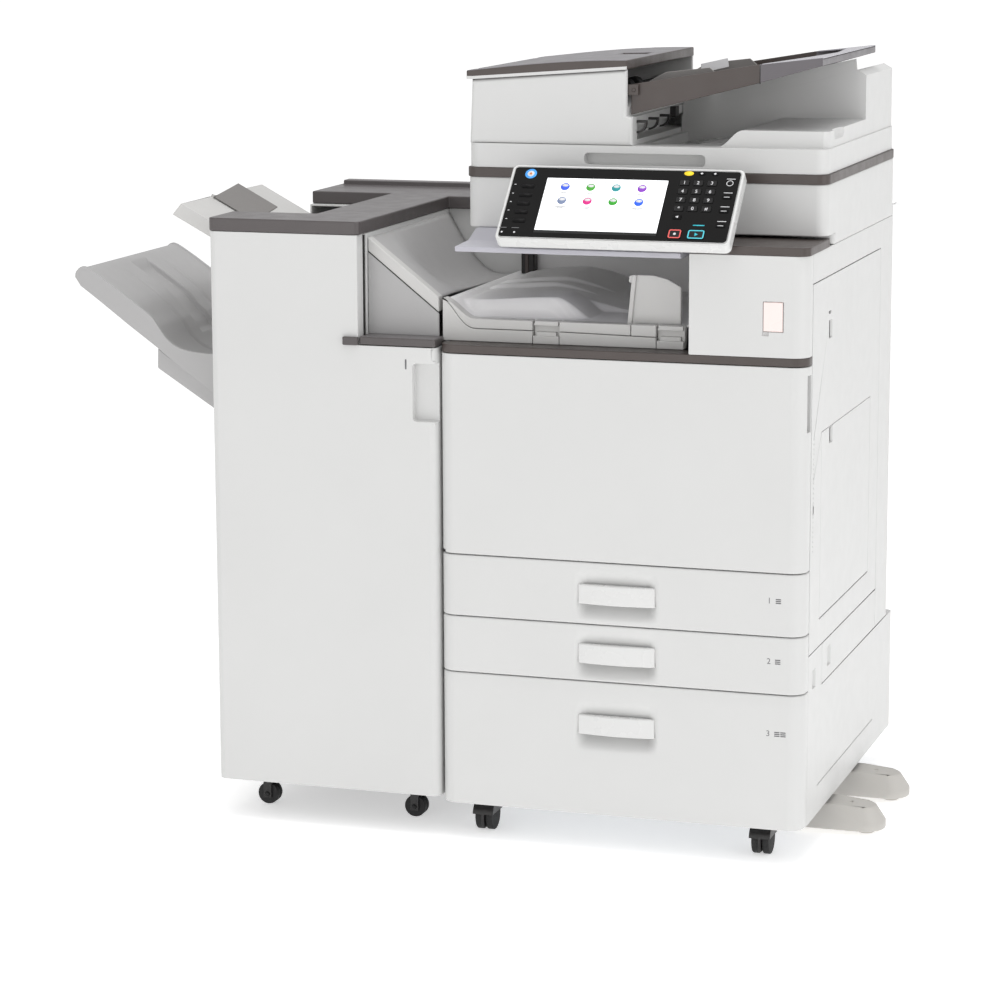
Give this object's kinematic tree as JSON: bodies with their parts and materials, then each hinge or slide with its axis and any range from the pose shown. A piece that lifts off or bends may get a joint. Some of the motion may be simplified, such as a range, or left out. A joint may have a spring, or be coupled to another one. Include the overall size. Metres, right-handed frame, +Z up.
{
  "type": "photocopier",
  "caption": "Floor-standing office photocopier: paper drawers, front door, output bay, tilting panel, scanner with document feeder, docked finisher with trays.",
  "frame": {"origin": "centre of the overall footprint at floor level", "axes": "+X to the right seen from the front, +Y from the front to the rear, +Z up"},
  "size_m": [1.337, 0.7376, 1.2384],
  "materials": {
    "cover_white": "fine matt, moulded covers",
    "steel": "plain sheet steel and gears",
    "dark_trim": "dark brown-grey, matt",
    "tray_grey": "light grey, satin",
    "black_rubber": "black rubber",
    "black_plastic": "black, satin",
    "panel_black": "glossy black panel face",
    "screen": "lit colour touch screen",
    "key_grey": "grey keys",
    "start_cyan": "cyan start key",
    "stop_red": "red stop key",
    "drum_green": "green user-handled unit",
    "platen_glass": "clear platen glass"
  },
  "bodies": {
    "machine": {"frame": "steel", "left_cover": "cover_white", "rear_cover": "cover_white", "bank_cover": "cover_white", "power_inlet": "black_plastic", "right_cover": "cover_white", "inner_cover": "dark_trim", "toner_bottle": "black_plastic", "drum_unit": "drum_green", "fuser_unit": "dark_trim", "laser_unit": "dark_trim", "drive_unit": "steel", "trim_band": "dark_trim", "upper_right_cover": "cover_white", "output_bay": "tray_grey", "panel_support": "tray_grey", "scanner_body": "cover_white", "scanner_frame": "dark_trim", "exposure_glass": "platen_glass", "fin_body": "cover_white", "fin_top": "dark_trim", "bridge": "tray_grey", "proof_tray": "tray_grey", "stabiliser_feet": "tray_grey"},
    "side_door": {"right_door": "cover_white"},
    "bypass": {"bypass_tray": "cover_white"},
    "paper_path_door": {"lower_right_door": "cover_white"},
    "door": {"front_door": "cover_white"},
    "drawer_1": {"tray_1": "tray_grey", "tray_1_front": "cover_white"},
    "drawer_2": {"tray_2": "tray_grey", "tray_2_front": "cover_white"},
    "drawer_3": {"tray_3": "tray_grey", "tray_3_front": "cover_white"},
    "hatch": {"switch_hatch": "key_grey"},
    "mains_switch": {"power_switch": "key_grey"},
    "scan_carriage": {"carriage": "dark_trim"},
    "feeder": {"adf_base": "cover_white", "adf_feeder": "cover_white"},
    "feeder_cover": {"adf_cover": "dark_trim"},
    "document_tray": {"input_tray": "dark_trim"},
    "document_guide_front": {"guide_front": "dark_trim"},
    "document_guide_rear": {"guide_rear": "dark_trim"},
    "feed_rollers": {"pickup_rollers": "black_rubber"},
    "panel": {"op_panel": "cover_white", "panel_face": "panel_black", "lcd": "screen"},
    "keypad": {"number_keys": "key_grey"},
    "start": {"start_key": "start_cyan"},
    "stop": {"stop_key": "stop_red"},
    "finisher_door": {"fin_door": "cover_white"},
    "flap": {"proof_flap": "tray_grey"},
    "stack_tray": {"shift_tray": "tray_grey"},
    "fin_axle_left": {"fin_wheels_left": "black_rubber"},
    "fin_axle_right": {"fin_wheels_right": "black_rubber"},
    "caster_fork_left": {"caster_left": "black_plastic"},
    "caster_fork_right": {"caster_right": "black_plastic"},
    "caster_wheel_left": {"wheel_left": "black_rubber"},
    "caster_wheel_right": {"wheel_right": "black_rubber"},
    "rear_axle": {"rear_wheels": "black_rubber"}
  },
  "joints": [
    {"name": "front_door_hinge", "type": "hinge", "parent": "machine", "child": "door", "pos_m": [0.0075, -0.31417, 0.47], "axis": [0, 0, -1], "range_deg": [0, 90]},
    {"name": "tray_1_slide", "type": "slide", "parent": "machine", "child": "drawer_1", "axis": [0, -1, 0], "range_m": [0, 0.45]},
    {"name": "tray_2_slide", "type": "slide", "parent": "machine", "child": "drawer_2", "axis": [0, -1, 0], "range_m": [0, 0.45]},
    {"name": "tray_3_slide", "type": "slide", "parent": "machine", "child": "drawer_3", "axis": [0, -1, 0], "range_m": [0, 0.45]},
    {"name": "right_door_hinge", "type": "hinge", "parent": "machine", "child": "side_door", "pos_m": [0.5795, 0.21733, 0.6], "axis": [0, 0, 1], "range_deg": [0, 90]},
    {"name": "bypass_hinge", "type": "hinge", "parent": "side_door", "child": "bypass", "pos_m": [0.5795, -0.03217, 0.377], "axis": [0, 1, 0], "range_deg": [0, 80]},
    {"name": "lower_right_door_hinge", "type": "hinge", "parent": "machine", "child": "paper_path_door", "pos_m": [0.5795, 0.21733, 0.296], "axis": [0, 0, 1], "range_deg": [0, 90]},
    {"name": "switch_hatch_hinge", "type": "hinge", "parent": "machine", "child": "hatch", "pos_m": [0.543, -0.32397, 0.856], "axis": [0, 0, 1], "range_deg": [0, 90]},
    {"name": "power_switch_press", "type": "slide", "parent": "machine", "child": "mains_switch", "axis": [0, 1, 0], "range_m": [0, 0.002], "stiffness_N_per_m": 800},
    {"name": "scan_carriage_slide", "type": "slide", "parent": "machine", "child": "scan_carriage", "axis": [1, 0, 0], "range_m": [0, 0.4]},
    {"name": "feeder_lift", "type": "hinge", "parent": "machine", "child": "feeder", "pos_m": [0.2955, 0.31883, 1.0729], "axis": [-1, 0, 0], "range_deg": [0, 62]},
    {"name": "feeder_cover_hinge", "type": "hinge", "parent": "feeder", "child": "feeder_cover", "pos_m": [0.0135, -0.00917, 1.2024], "axis": [0, -1, 0], "range_deg": [0, 60]},
    {"name": "document_tray_hinge", "type": "hinge", "parent": "feeder", "child": "document_tray", "pos_m": [0.2765, 0.00283, 1.1864], "axis": [0, -1, 0], "range_deg": [0, 25]},
    {"name": "document_guide_slide", "type": "slide", "parent": "document_tray", "child": "document_guide_front", "axis": [0, 1, 0], "range_m": [-0.02, 0.09]},
    {"name": "document_guide_rear_slide", "type": "slide", "parent": "document_tray", "child": "document_guide_rear", "axis": [0, 1, 0], "range_m": [-0.09, 0.02]},
    {"name": "feed_roller_spin", "type": "hinge", "parent": "feeder", "child": "feed_rollers", "pos_m": [0.2165, -0.00917, 1.1804], "axis": [0, 1, 0], "continuous": true},
    {"name": "panel_tilt", "type": "hinge", "parent": "machine", "child": "panel", "pos_m": [0.2415, -0.24617, 0.975], "axis": [-1, 0, 0], "range_deg": [0, 22]},
    {"name": "keypad_press", "type": "slide", "parent": "panel", "child": "keypad", "axis": [0, 0.7157, -0.6984], "range_m": [0, 0.0008], "stiffness_N_per_m": 400},
    {"name": "start_press", "type": "slide", "parent": "panel", "child": "start", "axis": [0, 0.7157, -0.6984], "range_m": [0, 0.0008], "stiffness_N_per_m": 400},
    {"name": "stop_press", "type": "slide", "parent": "panel", "child": "stop", "axis": [0, 0.7157, -0.6984], "range_m": [0, 0.0008], "stiffness_N_per_m": 400},
    {"name": "finisher_door_hinge", "type": "hinge", "parent": "machine", "child": "finisher_door", "pos_m": [-0.3785, -0.31417, 0.4], "axis": [0, 0, -1], "range_deg": [0, 90]},
    {"name": "flap_hinge", "type": "hinge", "parent": "machine", "child": "flap", "pos_m": [-0.43567, -0.10417, 0.97491], "axis": [0.8809, 0, -0.4733], "range_deg": [-11, 30]},
    {"name": "stack_tray_lift", "type": "slide", "parent": "machine", "child": "stack_tray", "axis": [0, 0, -1], "range_m": [0, 0.38]},
    {"name": "fin_wheel_left_spin", "type": "hinge", "parent": "machine", "child": "fin_axle_left", "pos_m": [-0.3405, -0.02017, 0.018], "axis": [0, 1, 0], "continuous": true},
    {"name": "fin_wheel_right_spin", "type": "hinge", "parent": "machine", "child": "fin_axle_right", "pos_m": [-0.0825, -0.02017, 0.018], "axis": [0, 1, 0], "continuous": true},
    {"name": "caster_left_swivel", "type": "hinge", "parent": "machine", "child": "caster_fork_left", "pos_m": [0.0515, -0.24017, 0.057], "axis": [0, 0, 1], "continuous": true},
    {"name": "caster_right_swivel", "type": "hinge", "parent": "machine", "child": "caster_fork_right", "pos_m": [0.5065, -0.24017, 0.057], "axis": [0, 0, 1], "continuous": true},
    {"name": "caster_left_roll", "type": "hinge", "parent": "caster_fork_left", "child": "caster_wheel_left", "pos_m": [0.0515, -0.25617, 0.024], "axis": [1, 0, 0], "continuous": true},
    {"name": "caster_right_roll", "type": "hinge", "parent": "caster_fork_right", "child": "caster_wheel_right", "pos_m": [0.5065, -0.25617, 0.024], "axis": [1, 0, 0], "continuous": true},
    {"name": "rear_wheel_roll", "type": "hinge", "parent": "machine", "child": "rear_axle", "pos_m": [0.2785, 0.26483, 0.024], "axis": [1, 0, 0], "continuous": true}
  ],
  "couplings": [
    {"joint": "document_guide_rear_slide", "follows": "document_guide_slide", "ratio": -1}
  ]
}
